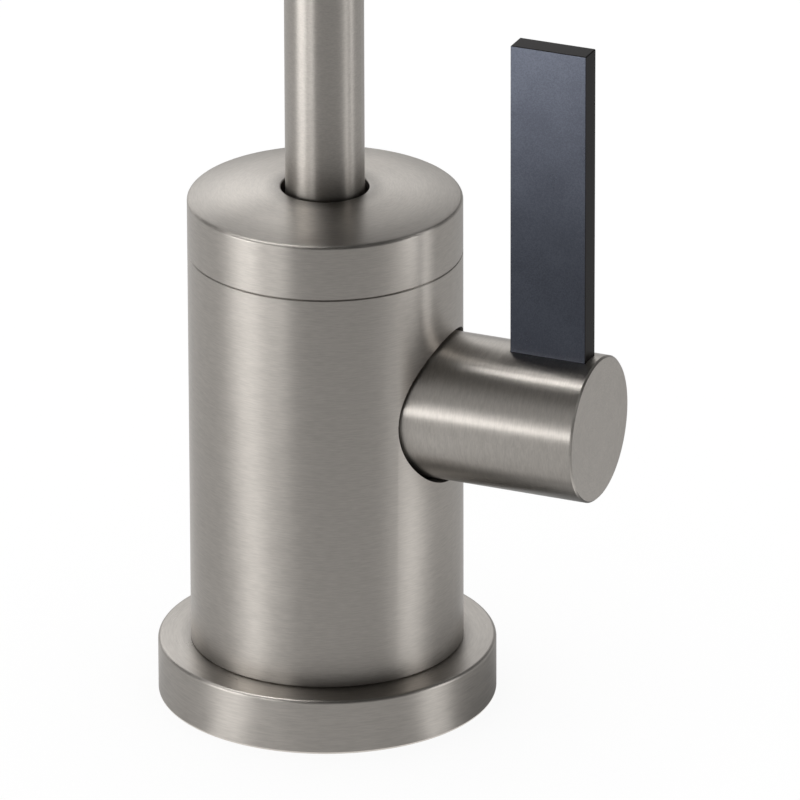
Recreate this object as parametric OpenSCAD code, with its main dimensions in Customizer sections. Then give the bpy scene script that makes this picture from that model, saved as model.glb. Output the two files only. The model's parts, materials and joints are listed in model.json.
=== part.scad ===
// Single-hole gooseneck bar faucet. A side lever turns a quarter-turn ceramic valve, and the
// spout swivels in the top of the body. Sizes are in millimetres.
// Z is up and the origin is the centre of the flange's underside, where it meets the deck.
// The handle is on the +X side, and the spout reaches towards -Y, where the user stands.

/* [Base flange] */
// Outer diameter of the flange
flange_d = 54.6; // [52:0.2:66]
// Height of the flange
flange_h = 9.3; // [8:0.1:13]
// Depth of the hollow under the flange
flange_hollow_h = 3.2; // [2.6:0.1:4.5]
// Chamfer on the flange's edges
flange_edge = 0.4; // [0.2:0.1:1]
// Thickness of the deck gasket
gasket_t = 1.6; // [1:0.1:2.4]
// Width of the deck gasket's ring
gasket_w = 4; // [3:0.1:5]
// Width of the flange's rim outside the gasket
flange_rim_w = 2; // [1.6:0.1:3]

/* [Body] */
// Outer diameter of the body and of the cap
body_d = 44; // [42:0.5:48]
// Height of the body shell, from the flange to the seam under the cap
body_h = 66.9; // [62:0.1:90]
// Wall of the body shell
body_wall = 2.8; // [2:0.1:3.2]
// Chamfer on the body's edges at the seams
body_edge = 0.2; // [0.1:0.05:0.6]

/* [Cap] */
// Height of the cap's rim above the seam
cap_h = 9.1; // [8.8:0.1:12]
// Rise of the crowned top above the rim
cap_rise = 1.9; // [0.6:0.1:3]
// Gap between the spout and the hole that it stands in
cap_hole_gap = 0.7; // [0.5:0.05:1.6]
// Chamfer round the cap's top
cap_edge = 0.35; // [0.2:0.05:0.8]

/* [Handle hub] */
// Diameter of the hub
hub_d = 23.8; // [22.8:0.2:25]
// How far the hub stands out of the body
hub_out = 25.4; // [23:0.1:32]
// Depth of the hub's axis below the seam
hub_drop = 23.5; // [21.5:0.1:26]
// Gap between the hub and the hole in the body
hub_gap = 0.7; // [0.5:0.05:1.2]
// Chamfer on the hub's ends
hub_edge = 0.3; // [0.1:0.05:0.8]

/* [Lever blade] */
// Width of the blade
blade_w = 12.9; // [11:0.1:15]
// Thickness of the blade
blade_t = 4; // [3.8:0.1:6]
// Height of the blade
blade_h = 52.2; // [35:0.2:75]
// Distance of the blade from the hub's outer face
blade_inset = 1.7; // [0.8:0.1:3]
// Depth of the blade's seat in the hub
blade_seat_h = 0.3; // [0.1:0.05:0.8]

/* [Spout] */
// Outer diameter of the spout tube
tube_d = 12.7; // [12:0.1:13]
// Wall of the spout tube
tube_wall = 1.1; // [0.8:0.05:1.6]
// Height above the deck where the bend starts
bend_z = 215; // [170:1:280]
// Radius of the bend, to the tube's centreline
bend_r = 57; // [40:1:75]
// Straight drop of the tube after the bend
leg_h = 25; // [14:1:60]
// Outer diameter of the outlet collar
outlet_d = 18.6; // [18:0.1:21]
// Height of the outlet collar
outlet_h = 18; // [17:0.5:26]

/* [Mounting] */
// Major diameter of the shank's thread
shank_d = 20.8; // [19:0.1:22]
// Bore of the shank
shank_bore_d = 12; // [9:0.1:13]
// Length of the shank's thread below the deck's surface
shank_drop = 62; // [48:1:80]
// Diameter of the inlet nipple, for a 3/8 in compression nut
inlet_d = 14.3; // [14:0.1:15]
// Length of the inlet nipple
inlet_h = 14; // [10:0.5:18]
// Bore of the inlet nipple, for a 3/8 in tube
inlet_bore_d = 9.6; // [9:0.1:10]
// Thickness of the deck at rest
deck_t = 20; // [6:1:30]
// Height of the mounting nut
nut_h = 9; // [6:0.5:12]
// Wall of the mounting nut at its flats
nut_wall = 5.5; // [4:0.1:7]
// Outer diameter of the rubber washer under the deck
rubber_washer_d = 44; // [38:0.5:50]
// Thickness of the rubber washer
rubber_washer_t = 3; // [2:0.1:5]
// Outer diameter of the steel washer
steel_washer_d = 38; // [36:0.5:42]
// Thickness of the steel washer
steel_washer_t = 1.5; // [1:0.1:2.5]

/* [Cartridge] */
// Diameter of the ceramic discs
disc_d = 13; // [12:0.1:13.6]
// Thickness of each ceramic disc
disc_t = 3; // [2.4:0.1:3.4]
// Diameter of the stem
stem_d = 8; // [7.8:0.1:8.6]
// Width of the stem's square end
stem_square = 5.4; // [4.8:0.1:5.5]
// Length of the stem's square end
stem_square_h = 7.5; // [6:0.1:8]

/* [Fits] */
// Radial clearance of the turning fits
run_fit = 0.06; // [0.03:0.01:0.09]
// Radial clearance of parts that slip together and stay put
slip_fit = 0.05; // [0.03:0.01:0.1]
// Radial clearance drawn between mating threads
thread_fit = 0.1; // [0.05:0.01:0.2]
// Clearance between flat faces that turn on each other
face_gap = 0.05; // [0.03:0.01:0.1]

/* [Hidden] */
$fn = 96;
overrun = 1;

// Colours
nickel = [0.68, 0.66, 0.63];
brass = [0.80, 0.66, 0.36];
steel = [0.62, 0.64, 0.67];
blade_black = [0.20, 0.21, 0.24];
rubber_black = [0.10, 0.10, 0.10];
ceramic_white = [0.93, 0.93, 0.90];
plastic_white = [0.86, 0.88, 0.90];
plastic_blue = [0.30, 0.45, 0.65];

// Body and shell
body_r = body_d / 2;
body_top = flange_h + body_h;
shell_inner_r = body_r - body_wall;
hub_r = hub_d / 2;
hub_hole_r = hub_r + hub_gap;
hub_z = body_top - hub_drop;

// Flange and gasket
gasket_outer_r = flange_d / 2 - flange_rim_w;
gasket_inner_r = gasket_outer_r - gasket_w;
flange_land_w = 1.6;
flange_hollow_r = gasket_inner_r - flange_land_w;

// Valve block: spigot in the flange, foot and collar in the shell, core and boss for the valve
spigot_inset = 4.2;
spigot_r = shell_inner_r - spigot_inset;
foot_h = 6;
collar_h = 7;
collar_drop = 0.5;
core_share = 35 / 48;
core_r = shell_inner_r * core_share;
cap_wall = 6;
neck_r = body_r - cap_wall;
neck_up = 3.2;
neck_top = body_top + neck_up;

// Shank and its seal in the valve block
shank_r = shank_d / 2;
shank_edge = 1;
shank_socket_h = 12;
shank_socket_top = flange_hollow_h + shank_socket_h;
shank_seal_t = 1.5;
shank_seal_w = 2.2;
shank_seal_inner_r = shank_r - shank_seal_w;
shank_top = shank_socket_top - shank_seal_t;
plenum_inset = 0.2;
plenum_r = shank_seal_inner_r - plenum_inset;
plenum_h = 3.5;
inlet_edge = 0.6;
inlet_socket_h = 8;
inlet_step_w = 0.8;
bore_step_h = 4;
inlet_z = -shank_drop - inlet_h;

// Handle axis: the hub starts inside the shell, so its end never shows in the hole
hub_cover = 3.4;
hub_end_gap = 0.5;
hub_x0 = sqrt(body_r * body_r - hub_hole_r * hub_hole_r) - hub_cover;
hub_x1 = body_r + hub_out;
boss_x = hub_x0 - hub_end_gap;

// Cartridge, stacked inwards from the boss face to the chamber floor
disc_r = disc_d / 2;
disc_fit = 0.1;
sleeve_wall = 1.3;
sleeve_r = disc_r + disc_fit + sleeve_wall;
chamber_r = sleeve_r + thread_fit;
seat_seal_t = 2;
seat_seal_w = 2.4;
stem_foot_h = 2;
stem_foot_gap = 0.3;
bonnet_grip_h = 5.5;
shoulder_x = boss_x - bonnet_grip_h;
stem_foot_x = shoulder_x - stem_foot_gap - stem_foot_h;
moving_disc_x = stem_foot_x - disc_t;
fixed_disc_x = moving_disc_x - face_gap - disc_t;
chamber_x = fixed_disc_x - seat_seal_t;
bonnet_flange_w = 1.1;
bonnet_flange_r = chamber_r + bonnet_flange_w;
bonnet_flange_t = 1.4;
bonnet_step_w = 0.5;
boss_wall = 3;
boss_r = chamber_r + boss_wall;
barrel_r = sleeve_r - bonnet_step_w;
barrel_h = 3.2;
hex_h = 2.2;
barrel_x = boss_x + bonnet_flange_t;
hex_x = barrel_x + barrel_h;
bonnet_end_x = hex_x + hex_h;

// Ceramic discs: two opposed ports each
port_inner_r = 1.3;
port_rim_w = 1.4;
port_span = 78;
slot_w = 2.4;
slot_h = 1.2;
slot_fit = 0.1;
slot_rim_w = 2.1;
slot_half_l = disc_r - slot_rim_w;

// Stem, its clip and its drive
stem_r = stem_d / 2;
clip_t = 1;
clip_gap = 0.2;
clip_outer_r = 5.8;
clip_groove_h = 0.7;
clip_opening = 100;
stem_round_x = bonnet_end_x + clip_gap + clip_t + 2 * clip_gap;
stem_end_x = stem_round_x + stem_square_h;
stem_square_half = stem_square / 2;

// Round seals, drawn at the size they have when fitted
stem_cord_d = 1.3;
cartridge_cord_d = 1.3;
spout_cord_d = 1.78;
cap_cord_d = 1.5;
groove_room = 0.5;

// Hub: a bore over the cartridge, then a square socket on the stem
hub_bore_gap = 0.5;
hub_bore_r = bonnet_flange_r + hub_bore_gap;
hub_bore_x = stem_round_x + clip_gap;
hub_socket_end_gap = 0.6;
hub_socket_x = stem_end_x + hub_socket_end_gap;
set_screw_r = 2.5;
set_screw_h = 6;
set_screw_x = (hub_bore_x + stem_end_x) / 2;
set_screw_key_r = 1.45;
set_screw_key_h = 3;

// Blade and its two screws, driven from under the hub
blade_x1 = hub_x1 - blade_inset;
blade_x0 = blade_x1 - blade_w;
blade_z0 = hub_z + hub_r - blade_seat_h;
blade_screw_r = 1.25;
blade_screw_pitch = 6.4;
blade_screw_grip = 8;
blade_screw_head_r = 2.25;
blade_screw_head_h = 2.5;
blade_screw_key_r = 1.15;
blade_screw_key_h = 1.3;
blade_screw_sink = 3.6;
blade_screw_fit = 0.25;
blade_screw_xs = [for (side = [-1, 1]) (blade_x0 + blade_x1 + side * blade_screw_pitch) / 2];
blade_screw_z0 = hub_z - hub_r + blade_screw_sink;

// Waterways in the valve block
passage_r = 3;
port_wall = 1.5;
port_inset = 2;
port_r = disc_r - port_inset;
inlet_x = chamber_x - port_wall - passage_r;
outlet_passage_x = moving_disc_x + disc_t / 2;
socket_h = 15.2;
socket_wall = 2.65;
tube_r = tube_d / 2;
tube_inner_r = tube_r - tube_wall;
socket_r = tube_r + socket_wall;
socket_floor = neck_top - socket_h;

// Swivel: ferrule flange between two glide rings, held down by the cap
glide_t = 0.7;
ferrule_r = socket_r - run_fit;
ferrule_lip_w = 2.5;
ferrule_flange_r = socket_r + ferrule_lip_w;
ferrule_flange_t = 2;
ferrule_end_gap = 0.8;
ferrule_z0 = socket_floor + ferrule_end_gap;
ferrule_flange_z = neck_top + glide_t + face_gap;
cap_ceiling = ferrule_flange_z + ferrule_flange_t + face_gap + glide_t;
cap_hole_r = tube_r + cap_hole_gap;
spout_seal_zs = [for (share = [1, 2]) ferrule_z0 + (ferrule_flange_z - ferrule_z0) * share / 3];

// Crowned cap: its arc meets the rim just inside the chamfer
crown_rim_r = body_r - cap_edge;
crown_r = (crown_rim_r * crown_rim_r + cap_rise * cap_rise) / (2 * cap_rise);
crown_steps = 24;

// Outlet: collar brazed on the tube, aerator screwed up inside it
outlet_r = outlet_d / 2;
outlet_y = -2 * bend_r;
leg_end_z = bend_z - leg_h;
outlet_grip_h = 8;
outlet_z = leg_end_z + outlet_grip_h - outlet_h;
outlet_edge = 0.6;
outlet_wall = 1.05;
outlet_thread_r = outlet_r - outlet_wall;
outlet_shoulder_gap = 0.5;
aerator_r = outlet_thread_r - thread_fit;
aerator_recess = 0.6;
aerator_seal_t = 1.4;
aerator_seal_w = 1.7;
aerator_top = leg_end_z - outlet_shoulder_gap - aerator_seal_t;
aerator_z = outlet_z + aerator_recess;
aerator_wall = 1.2;
aerator_lip_w = 0.7;
aerator_lip_h = 1;
aerator_disc_r = aerator_r - aerator_wall - slip_fit;
aerator_screen_t = 1.4;
aerator_hole_share = 0.09;
aerator_screen_hole_r = aerator_disc_r * aerator_hole_share;
aerator_flow_t = 2;
aerator_flow_hole_r = 0.5;
aerator_flow_holes = 8;

// Mounting stack under the deck
washer_bore_r = shank_r + 2 * thread_fit;
nut_face_h = 1;
nut_face_inset = 0.6;
nut_bore_r = shank_r + thread_fit;
nut_flat_r = nut_bore_r + nut_wall;
nut_top = -deck_t - rubber_washer_t - steel_washer_t;

// A disc with chamfered edges, standing on its base
module turned(r, h, low, high) {
    if (low > 0) cylinder(r1 = r - low, r2 = r, h = low);
    translate([0, 0, low]) cylinder(r = r, h = h - low - high);
    if (high > 0) translate([0, 0, h - high]) cylinder(r1 = r, r2 = r - high, h = high);
}

// A plain ring
module ring(r_out, r_in, h) {
    difference() {
        cylinder(r = r_out, h = h);
        translate([0, 0, -overrun]) cylinder(r = r_in, h = h + 2 * overrun);
    }
}

// A bore that starts at the base and opens downwards past it
module bore_up(r, h) {
    translate([0, 0, -overrun]) cylinder(r = r, h = h + overrun);
}

// A round-section seal that fills a groove cut r_out - cord_d deep
module round_seal(r_out, cord_d) {
    rotate_extrude() translate([r_out - cord_d / 2, 0]) circle(d = cord_d);
}

// The groove for such a seal, cut from a cylinder of radius r_out
module seal_groove(r_out, cord_d) {
    groove_h = cord_d + groove_room;
    translate([0, 0, -groove_h / 2]) ring(r_out + overrun, r_out - cord_d, groove_h);
}

// Puts a child that stands on Z onto the handle's axis, with its base at x
module on_handle_axis(x) {
    translate([x, 0, hub_z]) rotate([0, 90, 0]) children();
}

// Two opposed sectors between two radii, which are the ports of a ceramic disc
module ports(r_in, r_out, span, h) {
    for (turn = [0, 180]) {
        rotate([0, 0, turn - span / 2]) rotate_extrude(angle = span)
            translate([r_in, -overrun]) square([r_out - r_in, h + 2 * overrun]);
    }
}

// A hexagon socket or head
module hexagon(r, h) {
    cylinder(r = r, h = h, $fn = 6);
}

module base_flange() {
    color(nickel) difference() {
        turned(flange_d / 2, flange_h, flange_edge, flange_edge);
        bore_up(flange_hollow_r, flange_hollow_h);
        translate([0, 0, flange_hollow_h]) bore_up(spigot_r + slip_fit, flange_h);
        translate([0, 0, -overrun]) ring(gasket_outer_r, gasket_inner_r, gasket_t + overrun);
    }
}

module deck_gasket() {
    color(rubber_black) ring(gasket_outer_r - slip_fit, gasket_inner_r + slip_fit, gasket_t);
}

module body_shell() {
    color(nickel) difference() {
        translate([0, 0, flange_h]) turned(body_r, body_h, body_edge, body_edge);
        translate([0, 0, flange_h]) bore_up(shell_inner_r, body_h + overrun);
        on_handle_axis(0) cylinder(r = hub_hole_r, h = body_r + overrun);
    }
}

module valve_block() {
    color(brass) difference() {
        union() {
            translate([0, 0, flange_hollow_h])
                cylinder(r = spigot_r, h = flange_h - flange_hollow_h);
            translate([0, 0, flange_h]) cylinder(r = shell_inner_r - slip_fit, h = foot_h);
            translate([0, 0, flange_h + foot_h])
                cylinder(r = core_r, h = body_h - foot_h - collar_h);
            translate([0, 0, body_top - collar_h])
                cylinder(r = shell_inner_r - slip_fit, h = collar_h - collar_drop);
            translate([0, 0, body_top - collar_drop])
                cylinder(r = neck_r, h = neck_up + collar_drop);
            on_handle_axis(0) cylinder(r = boss_r, h = boss_x);
        }
        // shank socket, plenum and the inlet passage up to the valve
        translate([0, 0, flange_hollow_h]) bore_up(shank_r + thread_fit, shank_socket_h);
        translate([0, 0, shank_socket_top]) bore_up(plenum_r, plenum_h);
        translate([inlet_x, 0, shank_socket_top + plenum_h / 2])
            cylinder(r = passage_r, h = hub_z + passage_r - shank_socket_top - plenum_h / 2);
        on_handle_axis(inlet_x) cylinder(r = port_r, h = chamber_x - inlet_x + overrun);
        // valve chamber and the outlet passage up to the spout socket
        on_handle_axis(chamber_x) cylinder(r = chamber_r, h = boss_x - chamber_x + overrun);
        // clears the hub and the cartridge's flange where the core is wider than the boss is deep
        on_handle_axis(boss_x) cylinder(r = hub_hole_r, h = body_r);
        translate([outlet_passage_x, 0, hub_z])
            cylinder(r = passage_r, h = socket_floor - hub_z + overrun);
        translate([0, 0, socket_floor]) cylinder(r = socket_r, h = socket_h + overrun);
        // seal groove under the cap
        translate([0, 0, body_top + neck_up / 2]) seal_groove(neck_r, cap_cord_d);
    }
}

// Height of the crowned top above the rim, at distance r from the axis
function crown_z(r) = sqrt(crown_r * crown_r - r * r) + cap_rise - crown_r;

module top_cap() {
    crown_w = crown_rim_r - cap_hole_r;
    crown = [for (step = [1 : crown_steps])
        let (r = crown_rim_r - crown_w * step / crown_steps) [r, crown_z(r)]];
    color(nickel) translate([0, 0, body_top]) {
        difference() {
            turned(body_r, cap_h, body_edge, cap_edge);
            bore_up(neck_r + thread_fit, cap_ceiling - body_top);
            bore_up(cap_hole_r, cap_h + overrun);
        }
        translate([0, 0, cap_h]) rotate_extrude()
            polygon(concat([[cap_hole_r, 0], [crown_rim_r, 0]], crown));
    }
}

module cap_seal() {
    color(rubber_black) translate([0, 0, body_top + neck_up / 2])
        round_seal(neck_r, cap_cord_d);
}

module lower_glide_ring() {
    color(plastic_white) translate([0, 0, neck_top])
        ring(ferrule_flange_r, ferrule_r + slip_fit, glide_t);
}

module upper_glide_ring() {
    color(plastic_white) translate([0, 0, cap_ceiling - glide_t])
        ring(ferrule_flange_r, cap_hole_r, glide_t);
}

module shank() {
    color(brass) difference() {
        union() {
            translate([0, 0, -shank_drop])
                turned(shank_r, shank_top + shank_drop, shank_edge, shank_edge);
            translate([0, 0, inlet_z]) turned(inlet_d / 2, inlet_h, inlet_edge, 0);
        }
        // socket for the supply tube, with a step that the tube stops on
        translate([0, 0, inlet_z]) bore_up(inlet_bore_d / 2, inlet_socket_h);
        translate([0, 0, inlet_z])
            bore_up(inlet_bore_d / 2 - inlet_step_w, inlet_h + bore_step_h + overrun);
        translate([0, 0, -shank_drop + bore_step_h])
            cylinder(r = shank_bore_d / 2, h = shank_top + shank_drop);
    }
}

module shank_seal() {
    color(rubber_black) translate([0, 0, shank_top])
        ring(shank_r - slip_fit, shank_seal_inner_r, shank_seal_t);
}

module cartridge_body() {
    sleeve_x = chamber_x + seat_seal_t;
    window_x = moving_disc_x + disc_fit;
    window_l = stem_foot_x + stem_foot_h - window_x;
    color(brass) difference() {
        union() {
            on_handle_axis(sleeve_x) cylinder(r = sleeve_r, h = boss_x - sleeve_x);
            on_handle_axis(boss_x) cylinder(r = bonnet_flange_r, h = bonnet_flange_t);
            on_handle_axis(barrel_x) cylinder(r = barrel_r, h = barrel_h);
            on_handle_axis(hex_x) hexagon(barrel_r, hex_h);
        }
        on_handle_axis(sleeve_x) bore_up(disc_r + disc_fit, shoulder_x - sleeve_x);
        on_handle_axis(sleeve_x) bore_up(stem_r + run_fit, bonnet_end_x - sleeve_x + overrun);
        // two windows that let the water out to the chamber
        translate([window_x, -disc_r / 2, hub_z - chamber_r])
            cube([window_l, disc_r, 2 * chamber_r]);
        on_handle_axis((shoulder_x + boss_x) / 2) seal_groove(sleeve_r, cartridge_cord_d);
    }
}

module cartridge_seal() {
    color(rubber_black) on_handle_axis((shoulder_x + boss_x) / 2)
        round_seal(sleeve_r, cartridge_cord_d);
}

module seat_seal() {
    color(rubber_black) on_handle_axis(chamber_x)
        ring(sleeve_r, sleeve_r - seat_seal_w, seat_seal_t);
}

module fixed_disc() {
    color(ceramic_white) on_handle_axis(fixed_disc_x) difference() {
        cylinder(r = disc_r, h = disc_t);
        ports(port_inner_r, disc_r - port_rim_w, port_span, disc_t);
    }
}

module hub_guide_ring() {
    color(plastic_white) on_handle_axis(barrel_x)
        ring(hub_bore_r - run_fit, barrel_r + slip_fit, barrel_h);
}

module moving_disc() {
    color(ceramic_white) on_handle_axis(moving_disc_x) difference() {
        cylinder(r = disc_r, h = disc_t);
        // closed at rest: its ports stand across those of the fixed disc
        rotate([0, 0, 90]) ports(port_inner_r, disc_r + overrun, port_span, disc_t);
        translate([-slot_half_l - slot_fit, -slot_w / 2 - slot_fit, disc_t - slot_h - slot_fit])
            cube([2 * (slot_half_l + slot_fit), slot_w + 2 * slot_fit, disc_t]);
    }
}

module stem() {
    color(brass) union() {
        difference() {
            union() {
                on_handle_axis(stem_foot_x) cylinder(r = disc_r, h = stem_foot_h);
                on_handle_axis(stem_foot_x + stem_foot_h)
                    cylinder(r = stem_r, h = stem_round_x - stem_foot_x - stem_foot_h);
            }
            for (share = [1, 3]) on_handle_axis(stem_seal_x(share))
                seal_groove(stem_r, stem_cord_d);
            on_handle_axis(bonnet_end_x + clip_gap)
                ring(stem_r + overrun, stem_r - clip_groove_h, clip_t);
        }
        translate([stem_round_x, -stem_square_half, hub_z - stem_square_half])
            cube([stem_square_h, stem_square, stem_square]);
        // tongue that drives the moving disc
        translate([stem_foot_x - slot_h, -slot_w / 2, hub_z - slot_half_l])
            cube([slot_h, slot_w, 2 * slot_half_l]);
    }
}

// Places of the stem's two seals along the bonnet
function stem_seal_x(share) = shoulder_x + (hex_x - shoulder_x) * share / 4;

module stem_seals() {
    color(rubber_black) for (share = [1, 3]) on_handle_axis(stem_seal_x(share))
        round_seal(stem_r, stem_cord_d);
}

module stem_clip() {
    closed_span = 360 - clip_opening;
    inner_r = stem_r - clip_groove_h + slip_fit;
    color(steel) on_handle_axis(bonnet_end_x + clip_gap) rotate([0, 0, clip_opening / 2])
        rotate_extrude(angle = closed_span) translate([inner_r, 0])
            square([clip_outer_r - inner_r, clip_t]);
}

module handle_hub() {
    square_half = stem_square_half + slip_fit;
    color(nickel) difference() {
        on_handle_axis(hub_x0) turned(hub_r, hub_x1 - hub_x0, hub_edge, hub_edge);
        on_handle_axis(hub_x0) bore_up(hub_bore_r, hub_bore_x - hub_x0);
        translate([hub_bore_x - overrun, -square_half, hub_z - square_half])
            cube([hub_socket_x - hub_bore_x + overrun, 2 * square_half, 2 * square_half]);
        translate([set_screw_x, 0, hub_z - hub_r]) bore_up(set_screw_r + slip_fit, hub_r);
        for (x = blade_screw_xs) translate([x, 0, hub_z - hub_r]) {
            bore_up(blade_screw_r + blade_screw_fit, 2 * hub_r);
            bore_up(blade_screw_head_r + blade_screw_fit, blade_screw_sink);
        }
        // shallow seat that keeps the blade from turning
        translate([blade_x0 - slip_fit, -blade_t / 2 - slip_fit, blade_z0])
            cube([blade_w + 2 * slip_fit, blade_t + 2 * slip_fit, hub_r]);
    }
}

module hub_set_screw() {
    color(steel) translate([set_screw_x, 0, hub_z - stem_square_half - set_screw_h])
        difference() {
            cylinder(r = set_screw_r, h = set_screw_h);
            translate([0, 0, -overrun]) hexagon(set_screw_key_r, set_screw_key_h + overrun);
        }
}

module lever_blade() {
    color(blade_black) difference() {
        translate([blade_x0, -blade_t / 2, blade_z0]) cube([blade_w, blade_t, blade_h]);
        for (x = blade_screw_xs) translate([x, 0, blade_z0])
            bore_up(blade_screw_r + slip_fit, blade_screw_grip + slip_fit);
    }
}

module blade_screws() {
    color(steel) for (x = blade_screw_xs) translate([x, 0, blade_screw_z0]) {
        difference() {
            union() {
                cylinder(r = blade_screw_r, h = blade_z0 + blade_screw_grip - blade_screw_z0);
                translate([0, 0, -blade_screw_head_h])
                    cylinder(r = blade_screw_head_r, h = blade_screw_head_h);
            }
            translate([0, 0, -blade_screw_head_h - overrun])
                hexagon(blade_screw_key_r, blade_screw_key_h + overrun);
        }
    }
}

module spout_tube() {
    color(nickel) {
        translate([0, 0, ferrule_z0]) ring(tube_r, tube_inner_r, bend_z - ferrule_z0);
        translate([0, -bend_r, bend_z]) rotate([90, 0, 90]) rotate_extrude(angle = 180)
            translate([bend_r, 0]) difference() {
                circle(r = tube_r);
                circle(r = tube_inner_r);
            }
        translate([0, outlet_y, leg_end_z]) ring(tube_r, tube_inner_r, leg_h);
    }
}

module spout_ferrule() {
    color(brass) difference() {
        union() {
            translate([0, 0, ferrule_z0])
                cylinder(r = ferrule_r, h = ferrule_flange_z - ferrule_z0);
            translate([0, 0, ferrule_flange_z])
                cylinder(r = ferrule_flange_r, h = ferrule_flange_t);
        }
        translate([0, 0, ferrule_z0])
            bore_up(tube_r, ferrule_flange_z + ferrule_flange_t - ferrule_z0 + overrun);
        for (z = spout_seal_zs) translate([0, 0, z]) seal_groove(ferrule_r, spout_cord_d);
    }
}

module spout_seals() {
    color(rubber_black) for (z = spout_seal_zs) translate([0, 0, z])
        round_seal(ferrule_r, spout_cord_d);
}

module outlet_collar() {
    color(nickel) translate([0, outlet_y, outlet_z]) difference() {
        turned(outlet_r, outlet_h, outlet_edge, outlet_edge);
        bore_up(outlet_thread_r, leg_end_z - outlet_shoulder_gap - outlet_z);
        bore_up(tube_inner_r, leg_end_z - outlet_z);
        translate([0, 0, leg_end_z - outlet_z]) cylinder(r = tube_r, h = outlet_h);
    }
}

module aerator_housing() {
    inner_r = aerator_r - aerator_wall;
    color(plastic_white) translate([0, outlet_y, aerator_z]) difference() {
        cylinder(r = aerator_r, h = aerator_top - aerator_z);
        bore_up(inner_r - aerator_lip_w, aerator_top - aerator_z + overrun);
        translate([0, 0, aerator_lip_h]) cylinder(r = inner_r, h = aerator_top - aerator_z);
    }
}

module aerator_screen() {
    color(plastic_white) translate([0, outlet_y, aerator_z + aerator_lip_h]) difference() {
        cylinder(r = aerator_disc_r, h = aerator_screen_t);
        bore_up(aerator_screen_hole_r, aerator_screen_t + overrun);
        for (row = [1, 2, 3], step = [1 : 6 * row])
            rotate([0, 0, 60 * step / row])
                translate([row * aerator_disc_r / 4, 0, 0])
                    bore_up(aerator_screen_hole_r, aerator_screen_t + overrun);
    }
}

module aerator_flow_disc() {
    color(plastic_blue) translate([0, outlet_y, aerator_top - aerator_flow_t]) difference() {
        cylinder(r = aerator_disc_r, h = aerator_flow_t);
        for (step = [1 : aerator_flow_holes]) rotate([0, 0, 360 * step / aerator_flow_holes])
            translate([aerator_disc_r / 2, 0, 0])
                bore_up(aerator_flow_hole_r, aerator_flow_t + overrun);
    }
}

module aerator_seal() {
    color(rubber_black) translate([0, outlet_y, aerator_top])
        ring(aerator_r, aerator_r - aerator_seal_w, aerator_seal_t);
}

module rubber_washer() {
    color(rubber_black) translate([0, 0, -deck_t - rubber_washer_t])
        ring(rubber_washer_d / 2, washer_bore_r, rubber_washer_t);
}

module steel_washer() {
    color(steel) translate([0, 0, nut_top])
        ring(steel_washer_d / 2, washer_bore_r, steel_washer_t);
}

module mounting_nut() {
    hex_r = nut_flat_r / cos(30);
    color(brass) difference() {
        union() {
            translate([0, 0, nut_top - nut_h]) hexagon(hex_r, nut_h - nut_face_h);
            translate([0, 0, nut_top - nut_face_h])
                cylinder(r = nut_flat_r - nut_face_inset, h = nut_face_h);
        }
        translate([0, 0, nut_top - nut_h]) bore_up(nut_bore_r, nut_h + overrun);
    }
}

base_flange();
deck_gasket();
body_shell();
valve_block();
top_cap();
cap_seal();
lower_glide_ring();
upper_glide_ring();
shank();
shank_seal();
cartridge_body();
cartridge_seal();
seat_seal();
fixed_disc();
hub_guide_ring();
moving_disc();
stem();
stem_seals();
stem_clip();
handle_hub();
hub_set_screw();
lever_blade();
blade_screws();
spout_tube();
spout_ferrule();
spout_seals();
outlet_collar();
aerator_housing();
aerator_flow_disc();
aerator_screen();
aerator_seal();
rubber_washer();
steel_washer();
mounting_nut();
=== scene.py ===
import json
import math

import bmesh
import bpy
from mathutils import Matrix, Vector


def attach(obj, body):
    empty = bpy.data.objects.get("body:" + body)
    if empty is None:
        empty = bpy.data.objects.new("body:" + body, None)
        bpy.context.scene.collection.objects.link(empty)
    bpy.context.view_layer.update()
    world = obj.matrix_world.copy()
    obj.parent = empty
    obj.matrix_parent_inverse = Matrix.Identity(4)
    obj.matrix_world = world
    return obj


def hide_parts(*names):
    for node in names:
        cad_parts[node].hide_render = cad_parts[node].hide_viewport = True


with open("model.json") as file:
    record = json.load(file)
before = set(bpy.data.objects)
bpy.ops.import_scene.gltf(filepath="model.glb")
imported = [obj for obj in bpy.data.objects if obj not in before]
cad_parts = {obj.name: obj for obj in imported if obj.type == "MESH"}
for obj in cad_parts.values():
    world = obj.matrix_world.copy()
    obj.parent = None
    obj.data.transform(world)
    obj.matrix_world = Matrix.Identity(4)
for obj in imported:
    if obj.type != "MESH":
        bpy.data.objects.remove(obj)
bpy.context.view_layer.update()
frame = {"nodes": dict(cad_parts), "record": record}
cadNodes = frame["nodes"]
print("frame loaded:", len(cadNodes), "nodes")


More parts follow.
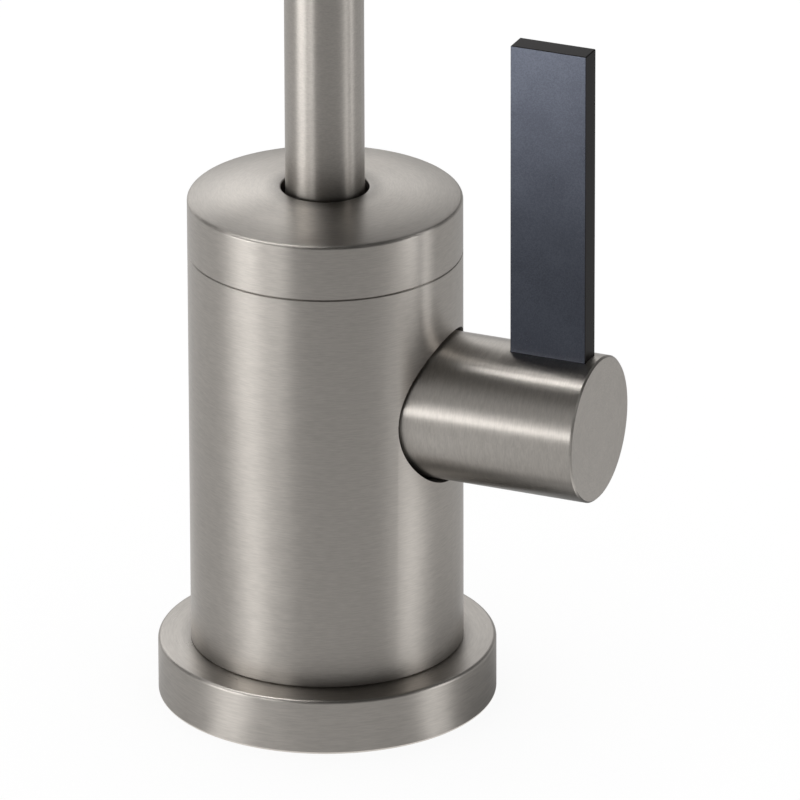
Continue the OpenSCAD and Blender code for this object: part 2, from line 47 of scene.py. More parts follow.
# a shader socket that understands + - * / and a few functions
class Wire:
    def __init__(self, shader, socket):
        self.shader = shader
        self.socket = socket

    def calculate(self, operation, *values):
        return self.shader.node("ShaderNodeMath", {"operation": operation}, dict(enumerate(values)))

    def math(self, operation, *others):
        return self.calculate(operation, self, *others)

    def __add__(self, other):
        return self.math("ADD", other)

    def __sub__(self, other):
        return self.math("SUBTRACT", other)

    def __rsub__(self, other):
        return self.calculate("SUBTRACT", other, self)

    def __mul__(self, other):
        return self.math("MULTIPLY", other)

    def __truediv__(self, other):
        return self.math("DIVIDE", other)

    def __rtruediv__(self, other):
        return self.calculate("DIVIDE", other, self)

    def __pow__(self, other):
        return self.math("POWER", other)

    def __abs__(self):
        return self.math("ABSOLUTE")

    __radd__ = __add__
    __rmul__ = __mul__

    def clamp(self):
        return self.shader.node("ShaderNodeClamp", {}, {"Value": self})

    # 0 at the first value and 1 at the second
    def smooth(self, start, end):
        settings = {"interpolation_type": "SMOOTHSTEP"}
        values = {"Value": self, "From Min": start, "From Max": end}
        return self.shader.node("ShaderNodeMapRange", settings, values)

    def scaled(self, factor):
        return self.shader.node("ShaderNodeVectorMath", {"operation": "SCALE"}, {0: self, "Scale": factor})


class Shader:
    def __init__(self, name, tree=None):
        self.material = None if tree else bpy.data.materials.new(name)
        if self.material:
            self.material.use_nodes = True
        self.tree = tree or self.material.node_tree
        self.tree.nodes.clear()

    # one node: its settings first, then the values or links of its sockets
    def node(self, kind, settings, values, out=0):
        made = self.tree.nodes.new(kind)
        for key, value in settings.items():
            setattr(made, key, value)
        for key, value in values.items():
            if isinstance(value, Wire):
                self.tree.links.new(value.socket, made.inputs[key])
            else:
                made.inputs[key].default_value = value
        return Wire(self, made.outputs[out])

    def place(self):
        return self.node("ShaderNodeTexCoord", {}, {}, "Object")

    def facing(self):
        return self.node("ShaderNodeNewGeometry", {}, {}, "Normal")

    def split(self, vector):
        made = self.node("ShaderNodeSeparateXYZ", {}, {0: vector})
        return [Wire(self, socket) for socket in made.socket.node.outputs]

    def join(self, x, y, z):
        return self.node("ShaderNodeCombineXYZ", {}, {0: x, 1: y, 2: z})

    def noise(self, vector, scale, detail):
        values = {"Vector": vector, "Scale": scale, "Detail": detail, "Roughness": 0.5}
        return self.node("ShaderNodeTexNoise", {}, values)

    def blend(self, factor, first, second):
        values = {0: factor, 6: (*first, 1), 7: (*second, 1)}
        return self.node("ShaderNodeMix", {"data_type": "RGBA"}, values, 2)

    def bump(self, height, distance):
        return self.node("ShaderNodeBump", {}, {"Height": height, "Distance": distance})

    def glow(self, strength):
        return self.node("ShaderNodeEmission", {}, {"Color": (1, 1, 1, 1), "Strength": strength})

    def clear(self):
        return self.node("ShaderNodeBsdfTransparent", {}, {"Color": (1, 1, 1, 1)})

    def mix(self, factor, first, second):
        return self.node("ShaderNodeMixShader", {}, {0: factor, 1: first, 2: second})

    def surface(self, values):
        return self.node("ShaderNodeBsdfPrincipled", {}, values)

    # camera rays, and those of reflections or glass
    def rays(self):
        seen = self.node("ShaderNodeLightPath", {}, {}, "Is Camera Ray")
        outputs = seen.socket.node.outputs
        return seen, Wire(self, outputs["Is Glossy Ray"]) + Wire(self, outputs["Is Transmission Ray"])

    def finish(self, surface, target="ShaderNodeOutputMaterial"):
        out = self.tree.nodes.new(target)
        self.tree.links.new(surface.socket, out.inputs["Surface"])
        return self.material


# angles in degrees, distances in metres
cameraSpec = {
    "azimuth": 23.342, "elevation": 22.803, "roll": 0.163,
    "distance": 2.09762, "aside": 0.01184, "above": 0.046042,
    "lens": 583.96, "sensor": 36.0, "clip": (0.1, 20),
}


def makeCamera(spec):
    turn, lift, roll = (math.radians(spec[key]) for key in ("azimuth", "elevation", "roll"))
    back = Vector((math.sin(turn) * math.cos(lift), -math.cos(turn) * math.cos(lift), math.sin(lift)))
    right = Vector((math.cos(turn), math.sin(turn), 0))
    up = back.cross(right)
    place = back * spec["distance"] + right * spec["aside"] + up * spec["above"]
    across = right * math.cos(roll) - up * math.sin(roll)
    upright = right * math.sin(roll) + up * math.cos(roll)
    data = bpy.data.cameras.new("camera")
    data.lens, data.sensor_width = spec["lens"], spec["sensor"]
    data.clip_start, data.clip_end = spec["clip"]
    camera = bpy.data.objects.new("camera", data)
    bpy.context.scene.collection.objects.link(camera)
    turned = Matrix((across, upright, back)).transposed().to_4x4()
    camera.matrix_world = Matrix.Translation(place) @ turned
    bpy.context.scene.camera = camera


makeCamera(cameraSpec)
print("camera made")


# the studio is a white floor and background, and lights that only reflections see;
# azimuths run from -Y towards +X, in degrees, and widths are half widths

def addMesh(name, build, material):
    mesh = bpy.data.meshes.new(name)
    shape = bmesh.new()
    build(shape)
    shape.to_mesh(mesh)
    shape.free()
    mesh.materials.append(material)
    made = bpy.data.objects.new(name, mesh)
    bpy.context.scene.collection.objects.link(made)
    return made


def onlyReflected(made):
    made.visible_camera = made.visible_diffuse = made.visible_transmission = False
    made.visible_volume_scatter = made.visible_shadow = False


def compass(x, y):
    return x.math("ARCTAN2", y * -1)


def angleFrom(azimuth, centre):
    return (azimuth - math.radians(centre)).math("COSINE").math("ARCCOSINE")


# 1 within the width and 0 beyond, with an edge that grows sharper with the power
def softEdge(distance, width, power):
    return 1.0 / (1.0 + (distance / width) ** power)


floorSpec = {
    "size": 60.0, "height": -0.00005, "glow": 0.872,
    # colour to the camera and to reflections, and to all other light
    "colour": (0.15, 0.15, 0.15), "bounce": (0.8, 0.8, 0.8),
}


# white to the camera and to reflections, and a plain pale floor to all other light
def makeFloor(spec):
    white = Shader("floorWhite")
    diffuse = white.node("ShaderNodeBsdfDiffuse", {}, {"Color": (*spec["colour"], 1)})
    both = white.node("ShaderNodeAddShader", {}, {0: diffuse, 1: white.glow(spec["glow"])})
    seen, mirrored = white.rays()
    plain = white.node("ShaderNodeBsdfDiffuse", {}, {"Color": (*spec["bounce"], 1)})
    material = white.finish(white.mix((seen + mirrored).clamp(), plain, both))
    addMesh("floor", lambda shape: floorShape(shape, spec), material)


def floorShape(shape, spec):
    bmesh.ops.create_grid(shape, x_segments=1, y_segments=1, size=spec["size"] / 2,
                          matrix=Matrix.Translation((0, 0, spec["height"])))


# the room's light on the object, as a share of the white that the camera sees
roomSpec = {"light": 0.9}


def makeRoom(spec):
    world = bpy.data.worlds.new("room")
    bpy.context.scene.world = world
    world.use_nodes = True
    room = Shader("room", world.node_tree)
    seen, mirrored = room.rays()
    strength = (seen + mirrored).clamp() * (1 - spec["light"]) + spec["light"]
    light = room.node("ShaderNodeBackground", {}, {"Color": (1, 1, 1, 1), "Strength": strength})
    room.finish(light, "ShaderNodeOutputWorld")


domeSpec = {
    "radius": 0.9, "segments": 48, "rings": 24,
    # strength at the horizon and high up, and the lifts between which it falls
    "low": 0.34, "high": 0.1, "from": 0, "to": 27,
    # darker part: azimuth, width, sharpness, loss
    "dim": (45, 55, 6, 0.6),
    # bright band over the object, along X: lean from upright, width, strength, sharpness
    "band": (1, 6, 6.0, 12),
    # the band's middle and half length as shares of the radius, sharpness
    "bandReach": (-0.36, 0.24, 6),
    # brighter patches: azimuth, lift, width, strength
    "patches": ((-155, 33, 21, 0.42), (-28, 34, 15, 0.42)), "patchEdge": 4,
}


def makeDome(spec):
    sky = Shader("domeGlow")
    x, y, z = sky.split(sky.place())
    azimuth = compass(x, y)
    lift = z.math("ARCTAN2", (x * x + y * y).math("SQRT"))
    fade = lift.smooth(math.radians(spec["from"]), math.radians(spec["to"]))
    strength = spec["low"] - (spec["low"] - spec["high"]) * fade
    centre, width, power, loss = spec["dim"]
    strength = strength * (1 - loss * softEdge(angleFrom(azimuth, centre), math.radians(width), power))
    lean, width, glow, power = spec["band"]
    overhead = softEdge(abs(y.math("ARCTAN2", z) - math.radians(lean)), math.radians(width), power)
    middle, half, power = spec["bandReach"]
    strength = strength + glow * softEdge(abs(x / spec["radius"] - middle), half, power) * overhead
    for centre, height, width, extra in spec["patches"]:
        aside = angleFrom(azimuth, centre) * math.cos(math.radians(height))
        apart = (aside * aside + (lift - math.radians(height)) ** 2).math("SQRT")
        strength = strength + extra * softEdge(apart, math.radians(width), spec["patchEdge"])
    material = sky.finish(sky.glow(strength))
    onlyReflected(addMesh("dome", lambda shape: domeShape(shape, spec), material))


def domeShape(shape, spec):
    bmesh.ops.create_uvsphere(shape, u_segments=spec["segments"], v_segments=spec["rings"],
                              radius=spec["radius"])
    everything = shape.verts[:] + shape.edges[:] + shape.faces[:]
    bmesh.ops.bisect_plane(shape, geom=everything, plane_co=(0, 0, 0), plane_no=(0, 0, 1), clear_inner=True)


cardSpec = {
    "radius": 0.9, "height": 0.0004, "segments": 64, "base": 0.38, "edge": 4,
    # azimuth, width, strength
    "glows": ((-42, 13, 0.6), (99, 12, 0.6), (-125, 40, 0.07), (-150, 12, 0.3), (165, 40, 0.06)),
    # the glows grow over the first distances and lose this share over the second ones
    "growth": (-0.01, 0.05), "fade": (0.1, 0.24), "loss": 0.42,
    # the glows are laid out as a round body of this radius shows them from this azimuth
    "mirrorSide": 23.3, "mirrorRadius": 0.024,
    # far from the object they turn to the left by this angle in radians
    "farTurn": 0.12, "farReach": (0.2, 0.27),
    # glow that changes with the distance: azimuth, width, from and to this distance, strength
    "rises": ((-16, 12, 0.2, 0.32, 0.08), (-105, 40, 0.13, 0.19, 0.09), (25, 42, 0.17, 0.08, 0.06)),
    # shadow beside the foot: azimuth, width, distances between which it ends, depth
    "shadow": (148, 46, 0.036, 0.075, 0.6),
}


# what a round body shows of the floor beside it
def makeCard(spec):
    ground = Shader("cardGlow")
    x, y, z = ground.split(ground.place())
    reach = (x * x + y * y).math("SQRT")
    side = math.radians(spec["mirrorSide"])
    spread = 1 - spec["mirrorRadius"] / 2 / reach.math("MAXIMUM", spec["mirrorRadius"])
    aside = (compass(x, y) - side).math("WRAP", math.pi, -math.pi) / spread
    azimuth = aside.math("MAXIMUM", -math.pi).math("MINIMUM", math.pi) + side
    turned = azimuth + spec["farTurn"] * reach.smooth(*spec["farReach"])

    def edge(place, centre, width):
        return softEdge(angleFrom(place, centre), math.radians(width), spec["edge"])

    strength = spec["base"]
    far = reach.smooth(*spec["growth"]) * (1 - spec["loss"] * reach.smooth(*spec["fade"]))
    for centre, width, extra in spec["glows"]:
        strength = strength + extra * far * edge(turned, centre, width)
    for centre, width, start, end, extra in spec["rises"]:
        strength = strength + extra * reach.smooth(start, end) * edge(azimuth, centre, width)
    centre, width, start, end, depth = spec["shadow"]
    near = 1 - reach.smooth(start, end)
    strength = strength * (1 - depth * (near * edge(azimuth, centre, width)))
    material = ground.finish(ground.glow(strength))
    onlyReflected(addMesh("floorCard", lambda shape: cardShape(shape, spec), material))


def cardShape(shape, spec):
    bmesh.ops.create_circle(shape, cap_ends=True, segments=spec["segments"], radius=spec["radius"],
                            matrix=Matrix.Translation((0, 0, spec["height"])))


panelSpec = {
    "edge": 6, "levelEdge": 8, "steps": 40,
    # half widths of the sheet on each side, share of the height added over and under, lowest edge
    "spread": 2.6, "rise": 0.3, "lowest": 0.001,
    # azimuth, width, distance, low and high edge, strength
    "panels": {
        "leftPanel": (-43, 14, 0.27, 0.053, 0.12, 4.3),
        "hubPanel": (-13, 7, 0.26, 0.048, 0.092, 3.5),
        "rightPanel": (100, 11, 0.29, 0.0, 0.13, 1.7),
        "backPanel": (-137, 23, 0.5, 0.13, 0.4, 1.15),
    },
}


def makePanels(spec):
    for name, panel in spec["panels"].items():
        centre, width, distance, low, high, strength = panel
        soft = Shader(name + "Glow")
        x, y, z = soft.split(soft.place())
        level = softEdge(abs(z - (low + high) / 2), (high - low) / 2, spec["levelEdge"])
        amount = softEdge(angleFrom(compass(x, y), centre), math.radians(width), spec["edge"]) * level
        material = soft.finish(soft.mix(amount, soft.clear(), soft.glow(strength)))
        onlyReflected(addMesh(name, lambda shape: panelShape(shape, spec, panel), material))


# a standing strip of a cylinder
def panelShape(shape, spec, panel):
    centre, width, distance, low, high, strength = panel
    turn = math.radians(centre - spec["spread"] * width)
    foot = Vector((math.sin(turn), -math.cos(turn), 0)) * distance
    rise = (high - low) * spec["rise"]
    heights = (max(low - rise, spec["lowest"]), high + rise)
    ends = [shape.verts.new(foot + Vector((0, 0, height))) for height in heights]
    edge = shape.edges.new(ends)
    bmesh.ops.spin(shape, geom=ends + [edge], cent=(0, 0, 0), axis=(0, 0, 1), steps=spec["steps"],
                   angle=math.radians(2 * spec["spread"] * width), use_duplicate=False)


# an upright card before the blade's inner edge: low and high corner, strength at the front and the back
veilSpec = {
    "low": (0.0322, -0.0034, 0.0648), "high": (0.0322, 0.0034, 0.1165), "front": 1.05, "back": 0.25,
}


# it glows only towards the body, whose reflections see it in place of the blade's dark edge
def makeVeil(spec):
    bright = Shader("veilGlow")
    x, y, z = bright.split(bright.place())
    level = spec["front"] + (spec["back"] - spec["front"]) * y.smooth(spec["low"][1], spec["high"][1])
    behind = bright.node("ShaderNodeNewGeometry", {}, {}, "Backfacing")
    material = bright.finish(bright.mix(behind, bright.glow(level), bright.clear()))
    onlyReflected(addMesh("veil", lambda shape: veilShape(shape, spec), material))


# an upright sheet that faces -X
def veilShape(shape, spec):
    low, high = Vector(spec["low"]), Vector(spec["high"])
    corners = ((low.y, low.z), (low.y, high.z), (high.y, high.z), (high.y, low.z))
    face = shape.faces.new([shape.verts.new((low.x, y, z)) for y, z in corners])
    face.normal_update()
    if face.normal.x > 0:
        face.normal_flip()


makeFloor(floorSpec)
makeRoom(roomSpec)
makeDome(domeSpec)
makeCard(cardSpec)
makePanels(panelSpec)
makeVeil(veilSpec)
bpy.context.scene.view_settings.view_transform = "Standard"
print("studio made")


nickelSpec = {
    "colour": (0.695, 0.653, 0.604), "dark": (0.58, 0.545, 0.503),
    "roughness": 0.37, "roughSpread": 0.09, "anisotropy": 0.76,
    # lines per metre across the brushing and per radian along it, clouds per metre
    "fineLines": 5000, "broadLines": 1700, "fineTurns": 12, "broadTurns": 5, "clouds": 260,
    "fineDetail": 2.0, "broadDetail": 3.0, "cloudDetail": 3.0,
    # shares of fine lines, broad lines and clouds in the tone, and the tones that turn dark and light
    "fineShare": 0.5, "broadShare": 0.3, "cloudShare": 0.2, "tones": (0.3, 0.7),
    "grooveDepth": 0.000002,
    # a flat top grows smoother within this height over its rim, and the painted shade on it begins this far
    # under it
    "flatEdge": 0.0002, "topEdge": (0.0002, 0.00005),
}


# coordinates along the brushing: distance from the turning axis, place along it, angle round it
def turnedPlace(shader, centre, axis):
    x, y, z = shader.split(shader.place())
    x, y, z = x - centre[0], y - centre[1], z - centre[2]
    if axis == "x":
        x, y, z = y, z, x
    return (x * x + y * y).math("SQRT"), z, y.math("ARCTAN2", x)


# rotation 0.25 blurs reflections across the turning lines of a piece turned about Z;
# flat is the height of a flat top and how much smoother it is; corners are places of painted shade,
# darker colour standing in for shade in corners, at feet, at joints and on flat tops, each with what it is
# measured along, where the painted shade is darkest and where it ends, and the loss
def makeNickel(name, spec, centre=(0, 0, 0), axis="z", rotation=0.25, flat=None, corners=(), even=None,
               below=None):
    shader = Shader(name)
    reach, along, turn = turnedPlace(shader, centre, axis)
    lines, bands = spec["fineLines"], spec["broadLines"]
    finePlace = shader.join(reach * lines, along * lines, turn * spec["fineTurns"])
    broadPlace = shader.join(reach * bands, along * bands, turn * spec["broadTurns"])
    fine = shader.noise(finePlace, 1.0, spec["fineDetail"])
    broad = shader.noise(broadPlace, 1.0, spec["broadDetail"])
    cloud = shader.noise(shader.place(), spec["clouds"], spec["cloudDetail"])
    tone = fine * spec["fineShare"] + broad * spec["broadShare"] + cloud * spec["cloudShare"]
    colour = shader.blend(tone.smooth(*spec["tones"]), spec["dark"], spec["colour"])
    rough = spec["roughness"] + (broad + cloud - 1.0) * spec["roughSpread"]
    if flat:
        height, smoother = flat
        rough = rough - smoother * along.smooth(height, height + spec["flatEdge"])
    # painted shade: the colour darkens in corners, at feet, at joints and on flat tops, where shade falls
    for where, dark, unshaded, loss in corners:
        amount = loss * (1 - {"reach": reach, "top": reach, "along": along}[where].smooth(dark, unshaded))
        if where == "top":
            under, over = spec["topEdge"]
            amount = amount * along.smooth(height - under, height - over)
        colour = colour.scaled(1 - amount)
    if below:
        # painted shade: darker where the surface faces down
        start, end, loss = below
        colour = colour.scaled(1 - loss * shader.split(shader.facing())[2].smooth(start, end))
    normal = shader.bump(fine * 0.5 + broad * 0.5, spec["grooveDepth"])
    metal = shader.surface({
        "Base Color": colour, "Metallic": 1.0, "Roughness": rough, "Normal": normal,
        "Anisotropic": spec["anisotropy"], "Anisotropic Rotation": rotation,
    })
    if even:
        # past the straight part the highlights are blurred alike in all directions
        x, y, z = shader.split(shader.place())
        bent = z.smooth(*even["up"]).math("MAXIMUM", y.smooth(*even["out"]))
        soft = shader.noise(shader.place(), even["clouds"], spec["cloudDetail"])
        plain = shader.surface({
            "Base Color": shader.blend(soft.smooth(*spec["tones"]), even["dark"], spec["colour"]),
            "Metallic": 1.0, "Roughness": even["roughness"] + (soft - 0.5) * even["roughSpread"],
        })
        metal = shader.mix(bent, metal, plain)
    return shader.finish(metal)


coatSpec = {
    "face": (0.082, 0.089, 0.112), "faceSpeck": (0.106, 0.116, 0.143),
    # painted sheen: the faces' colour is lightened towards the blade's free end, between these heights
    "paintedSheen": (0.076, 0.118), "paintedSheenGain": 1.35,
    "edge": (0.034, 0.032, 0.032), "edgeSpeck": (0.044, 0.041, 0.041), "edgeTint": 0.72,
    "roughness": 0.29, "roughSpread": 0.1,
    # grains and clouds per metre, their shares in the tone, and the tones that turn dark and light
    "grain": 5200, "grainDetail": 2.0, "clouds": 160, "cloudDetail": 3.0,
    "grainShare": 0.7, "cloudShare": 0.3, "tones": (0.35, 0.7), "grainDepth": 0.000002,
}


def makeCoat(name, spec, base, speck, paintedSheen, tint):
    shader = Shader(name)
    place = shader.place()
    grain = shader.noise(place, spec["grain"], spec["grainDetail"])
    cloud = shader.noise(place, spec["clouds"], spec["cloudDetail"])
    tone = grain * spec["grainShare"] + cloud * spec["cloudShare"]
    colour = shader.blend(tone.smooth(*spec["tones"]), base, speck)
    if paintedSheen:
        # painted sheen: lighter colour towards the blade's free end
        height = shader.split(place)[2].smooth(*spec["paintedSheen"])
        colour = colour.scaled(1 + spec["paintedSheenGain"] * height)
    rough = spec["roughness"] + (cloud - 0.5) * spec["roughSpread"]
    return shader.finish(shader.surface({
        "Base Color": colour, "Metallic": 1.0, "Roughness": rough, "Specular Tint": (tint, tint, tint, 1),
        "Normal": shader.bump(grain, spec["grainDepth"]),
    }))


plainSpec = {
    # grains per cloud, depth of the grain, tones that turn dark and light
    "grains": 12, "depth": 0.00001, "tones": (0.3, 0.75), "roughSpread": 0.15,
    "cloudDetail": 4.0, "grainDetail": 2.0,
    # slot: material name, colour, darker colour, metallic, roughness, clouds per metre
    "slots": {
        "brass": ("brass", (0.78, 0.63, 0.35), (0.62, 0.48, 0.25), 1.0, 0.3, 220),
        "steel": ("steel", (0.62, 0.63, 0.65), (0.5, 0.51, 0.53), 1.0, 0.3, 260),
        "rubber": ("rubber", (0.03, 0.03, 0.03), (0.02, 0.02, 0.02), 0.0, 0.7, 300),
        "ceramic": ("ceramic", (0.9, 0.9, 0.87), (0.85, 0.85, 0.82), 0.0, 0.15, 300),
        "white_plastic": ("whitePlastic", (0.84, 0.86, 0.87), (0.78, 0.8, 0.81), 0.0, 0.4, 200),
        "blue_plastic": ("bluePlastic", (0.25, 0.42, 0.6), (0.21, 0.36, 0.52), 0.0, 0.4, 200),
    },
}


def makePlain(spec, name, colour, dark, metallic, roughness, clouds):
    shader = Shader(name)
    place = shader.place()
    cloud = shader.noise(place, clouds, spec["cloudDetail"])
    grain = shader.noise(place, clouds * spec["grains"], spec["grainDetail"])
    return shader.finish(shader.surface({
        "Base Color": shader.blend(cloud.smooth(*spec["tones"]), dark, colour), "Metallic": metallic,
        "Roughness": roughness + (cloud - 0.5) * spec["roughSpread"],
        "Normal": shader.bump(grain, spec["depth"]),
    }))


finishes = {
    "nickel": makeNickel("nickel", nickelSpec),
    "black_coat": makeCoat("blackCoat", coatSpec, coatSpec["face"], coatSpec["faceSpeck"], True, 1.0),
}
for slot, values in plainSpec["slots"].items():
    finishes[slot] = makePlain(plainSpec, *values)

slotOf = {part["node"]: part["material_slot"] for part in frame["record"]["subparts"]}
bodies = frame["record"]["behaviour"]["bodies"]
bodyOf = {node: body for body, members in bodies.items() for node in members}
for node, slot in slotOf.items():
    cadNodes[node].data.materials.clear()
    cadNodes[node].data.materials.append(finishes[slot])
print("materials made")


# a piece takes the place of a CAD node, on the node's body
def standFor(made, node):
    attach(made, bodyOf[node])
    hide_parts(node)
    return made


shadeSpec = {"sharpAngle": 44, "weight": 100}


def shadeSoft(made):
    for face in made.data.polygons:
        face.use_smooth = True
    made.data.set_sharp_from_angle(angle=math.radians(shadeSpec["sharpAngle"]))
    soft = made.modifiers.new("softEdges", "WEIGHTED_NORMAL")
    soft.keep_sharp, soft.weight, soft.mode = True, shadeSpec["weight"], "FACE_AREA_WITH_ANGLE"


# steps of a rounded corner and of a rounded edge, profile 0.5 being an arc
roundSpec = {"cornerSteps": 4, "edgeSteps": 3, "profile": 0.5}


# a closed outline of (radius, height, rounding) is rounded at its corners and turned about Z
def turnOutline(shape, outline, segments):
    corners = [shape.verts.new((reach, 0, height)) for reach, height, rounding in outline]
    for one, other in zip(corners, corners[1:] + corners[:1]):
        shape.edges.new((one, other))
    for corner, (reach, height, rounding) in zip(corners, outline):
        if rounding > 0:
            bmesh.ops.bevel(shape, geom=[corner], offset=rounding, offset_type="OFFSET", affect="VERTICES",
                            segments=roundSpec["cornerSteps"], profile=roundSpec["profile"], material=-1)
    bmesh.ops.spin(shape, geom=shape.verts[:] + shape.edges[:], cent=(0, 0, 0), axis=(0, 0, 1),
                   angle=2 * math.pi, steps=segments, use_merge=True)
    bmesh.ops.recalc_face_normals(shape, faces=shape.faces[:])


def addTurned(name, outline, segments, material):
    return addMesh(name, lambda shape: turnOutline(shape, outline, segments), material)


# the CAD mesh kept as it is, with its texture space moved so that brushed highlights run the right way
def copyNode(name, node, material, centre):
    mesh = cadNodes[node].data.copy()
    mesh.use_auto_texspace = False
    mesh.texspace_location, mesh.texspace_size = centre, (1, 1, 1)
    mesh.materials.clear()
    mesh.materials.append(material)
    made = bpy.data.objects.new(name, mesh)
    bpy.context.scene.collection.objects.link(made)
    return standFor(made, node)


hubSpec = {
    # aside is a texture centre far from the hub, so that its highlights are blurred along its own axis
    "axis": (0, 0, 0.0527), "aside": (0, -50, 0), "corners": (("along", 0.0474, 0.0469, 0.35),),
    # painted shade: the side darkens over its last half millimetre towards the outer end, and where it
    # faces down
    "below": (-0.34, -0.58, 0.5), "endFacing": 0.95,
    "side": {**nickelSpec, "roughness": 0.34, "anisotropy": 0.8, "grooveDepth": 0.0000008},
    "end": {**nickelSpec, "anisotropy": 0.0},
}


def makeHub(spec):
    side = makeNickel("hubNickel", spec["side"], spec["axis"], "x", 0.0,
                      corners=spec["corners"], below=spec["below"])
    hub = copyNode("handleHub", "handle_hub", side, spec["aside"])
    hub.data.materials.append(makeNickel("faceNickel", spec["end"], spec["axis"], "x", 0.0))
    for face in hub.data.polygons:
        if abs(face.normal.x) > spec["endFacing"]:
            face.material_index = 1


makeHub(hubSpec)

tubeSpec = {
    "finish": {**nickelSpec, "roughness": 0.35, "grooveDepth": 0.0000008},
    # painted shade: darker at the tube's foot where it leaves the cap
    "corners": (("along", 0.0855, 0.0935, 0.45),), "centre": (0, 0, 0.1),
    # the brushed look ends between these heights, and between these distances to the outlet's side
    "even": {
        "up": (0.15, 0.205), "out": (-0.01, -0.03), "roughness": 0.34, "roughSpread": 0.04, "clouds": 90,
        "dark": (0.635, 0.597, 0.552),
    },
}
tubeNickel = makeNickel("tubeNickel", tubeSpec["finish"],
                        corners=tubeSpec["corners"], even=tubeSpec["even"])
copyNode("spoutTube", "spout_tube", tubeNickel, tubeSpec["centre"])

collarSpec = {"centre": (0, -0.114, 0)}
collarNickel = makeNickel("collarNickel", nickelSpec, collarSpec["centre"])
copyNode("outletCollar", "outlet_collar", collarNickel, collarSpec["centre"])

# painted shade: darker at the foot by the flange and at the top where the cap sits
bodySpec = {"corners": (("along", 0.0088, 0.0125, 0.3), ("along", 0.07625, 0.0758, 0.3))}
cadNodes["body_shell"].data.materials[0] = makeNickel("bodyNickel", nickelSpec, corners=bodySpec["corners"])

flangeSpec = {
    # painted shade: darker on the top beside the body, and the whole top and its upper edge a little darker
    "flat": (0.0090, 0.07), "corners": (("reach", 0.0219, 0.0242, 0.3), ("along", 0.0093, 0.0089, 0.2)),
    # corners of the cross-section: distance from the axis, height, rounding
    "segments": 192, "outline": [
        (0.01505, 0.0093, 0), (0.01505, 0.0032, 0), (0.0197, 0.0032, 0), (0.0197, 0, 0.0001),
        (0.0213, 0, 0.0001), (0.0213, 0.0016, 0), (0.0253, 0.0016, 0), (0.0253, 0, 0.0001),
        (0.0273, 0, 0.0004), (0.0273, 0.0093, 0.0006),
    ],
}
flangeNickel = makeNickel("flangeNickel", nickelSpec,
                          flat=flangeSpec["flat"], corners=flangeSpec["corners"])
flange = addTurned("baseFlange", flangeSpec["outline"], flangeSpec["segments"], flangeNickel)
shadeSoft(standFor(flange, "base_flange"))

capSpec = {
    # foot, ceiling and rim are heights, and radius, bore and hole are distances from the axis;
    # the top is part of a large sphere, which meets the rim's height at crownRim from the axis
    "foot": 0.0762, "ceiling": 0.0829, "rim": 0.0853, "radius": 0.022, "bore": 0.0161, "hole": 0.00705,
    "crownRim": 0.02165, "crownRadius": 0.1243, "crownSteps": 14, "segments": 192,
    "footRounding": 0.0002, "rimRounding": 0.0005, "holeRounding": 0.0003, "boreRounding": 0.0001,
    "flat": (0.0853, 0.03),
    # painted shade: darker at the foot by the body, around the hole where the tube stands, and on the top
    # towards the rim
    "corners": (
        ("along", 0.07615, 0.0765, 0.3), ("reach", 0.007, 0.0105, 0.4), ("top", 0.0215, 0.014, 0.25),
    ),
}


def capOutline(spec):
    outline = [(spec["radius"], spec["foot"], spec["footRounding"])]
    crown, last = spec["crownRadius"], spec["crownSteps"]
    rimDepth = math.sqrt(crown ** 2 - spec["crownRim"] ** 2)
    for step in range(last + 1):
        reach = spec["radius"] + (spec["hole"] - spec["radius"]) * step / last
        height = spec["rim"] + math.sqrt(crown ** 2 - reach ** 2) - rimDepth
        outline.append((reach, height, {0: spec["rimRounding"], last: spec["holeRounding"]}.get(step, 0)))
    outline += [(spec["hole"], spec["ceiling"], 0), (spec["bore"], spec["ceiling"], 0)]
    return outline + [(spec["bore"], spec["foot"], spec["boreRounding"])]


capNickel = makeNickel("capNickel", nickelSpec, flat=capSpec["flat"], corners=capSpec["corners"])
cap = addTurned("topCap", capOutline(capSpec), capSpec["segments"], capNickel)
shadeSoft(standFor(cap, "top_cap"))

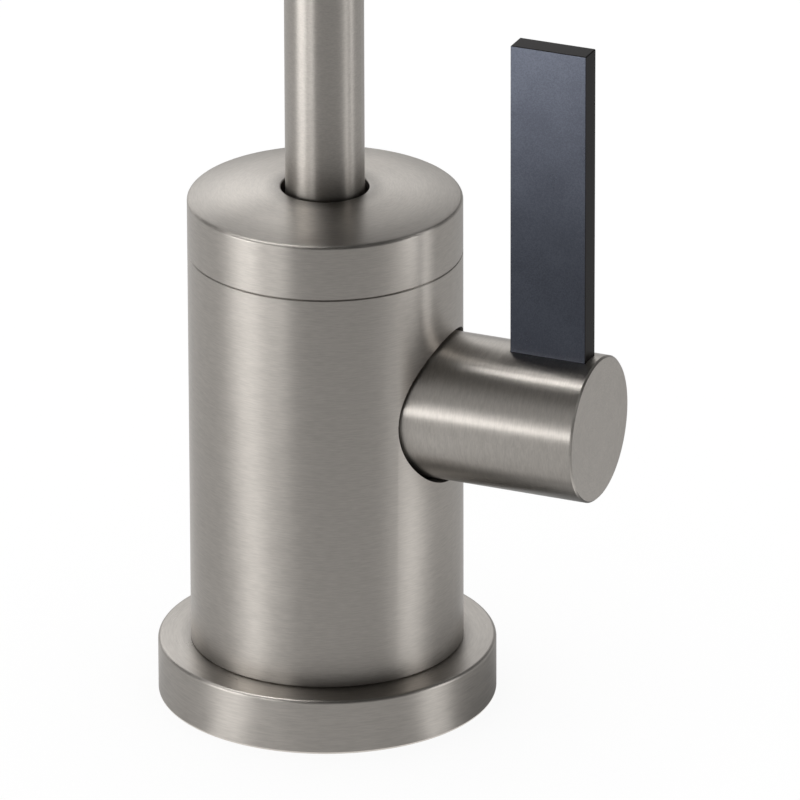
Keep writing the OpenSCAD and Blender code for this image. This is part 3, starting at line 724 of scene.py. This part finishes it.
shankSpec = {
    # corners of the cross-section: distance from the axis, height, rounding
    "outline": [
        (0.0048, -0.076, 0.0002), (0.0068, -0.076, 0.0002), (0.0068, -0.063, 0), (0.00715, -0.0626, 0),
        (0.00715, -0.062, 0), (0.0099, -0.062, 0.0002), (0.0099, -0.0016, 0), (0.0104, -0.001, 0),
        (0.0104, 0.0137, 0.0005), (0.006, 0.0137, 0.0003), (0.006, -0.058, 0), (0.004, -0.058, 0),
        (0.004, -0.068, 0), (0.0048, -0.068, 0),
    ],
    # threads: radius of the root and the crest, pitch, lowest and highest height
    "threads": ((0.0098, 0.0104, 0.001814, -0.0617, -0.0019), (0.0067, 0.00715, 0.00106, -0.0757, -0.0632)),
    # half widths of the ridge at root and crest, as shares of the pitch
    "rootShare": 0.49, "crestShare": 0.07, "segments": 96, "threadSteps": 40,
}


# one helical ridge, closed at both ends
def threadRidge(shape, spec, root, crest, pitch, low, high):
    half, top = pitch * spec["rootShare"], pitch * spec["crestShare"]
    corners = [(root, -half), (crest, -top), (crest, top), (root, half)]
    profile = [shape.verts.new((reach, 0, low + half + height)) for reach, height in corners]
    face = shape.faces.new(profile)
    climb = high - low - 2 * half
    count = round(climb / pitch * spec["threadSteps"])
    bmesh.ops.spin(shape, geom=[face] + list(face.edges) + profile, cent=(0, 0, 0), axis=(0, 0, 1),
                   dvec=(0, 0, climb / count), angle=2 * math.pi * climb / pitch, steps=count)


def shankShape(shape, spec):
    turnOutline(shape, spec["outline"], spec["segments"])
    for thread in spec["threads"]:
        threadRidge(shape, spec, *thread)
    bmesh.ops.recalc_face_normals(shape, faces=shape.faces[:])


shank = addMesh("shankWithThreads", lambda shape: shankShape(shape, shankSpec), finishes["brass"])
shadeSoft(standFor(shank, "shank"))

bladeSpec = {
    "low": (0.0328, -0.002, 0.0643), "high": (0.0457, 0.002, 0.1165), "rounding": 0.00018,
    "faceFacing": 0.9,
}


# the broad faces get the first material and all other sides the second
def bladeShape(shape, spec):
    low, high = Vector(spec["low"]), Vector(spec["high"])
    place = Matrix.Translation((low + high) / 2) @ Matrix.Diagonal((*(high - low), 1))
    bmesh.ops.create_cube(shape, size=1, matrix=place)
    bmesh.ops.bevel(shape, geom=shape.edges[:], offset=spec["rounding"], affect="EDGES",
                    segments=roundSpec["edgeSteps"], profile=roundSpec["profile"], material=-1)
    for face in shape.faces:
        face.material_index = 0 if abs(face.normal.y) > spec["faceFacing"] else 1


blade = addMesh("leverBlade", lambda shape: bladeShape(shape, bladeSpec), finishes["black_coat"])
coatEdge = makeCoat("coatEdge", coatSpec, coatSpec["edge"], coatSpec["edgeSpeck"], False,
                    coatSpec["edgeTint"])
blade.data.materials.append(coatEdge)
shadeSoft(standFor(blade, "lever_blade"))
print("pieces made")
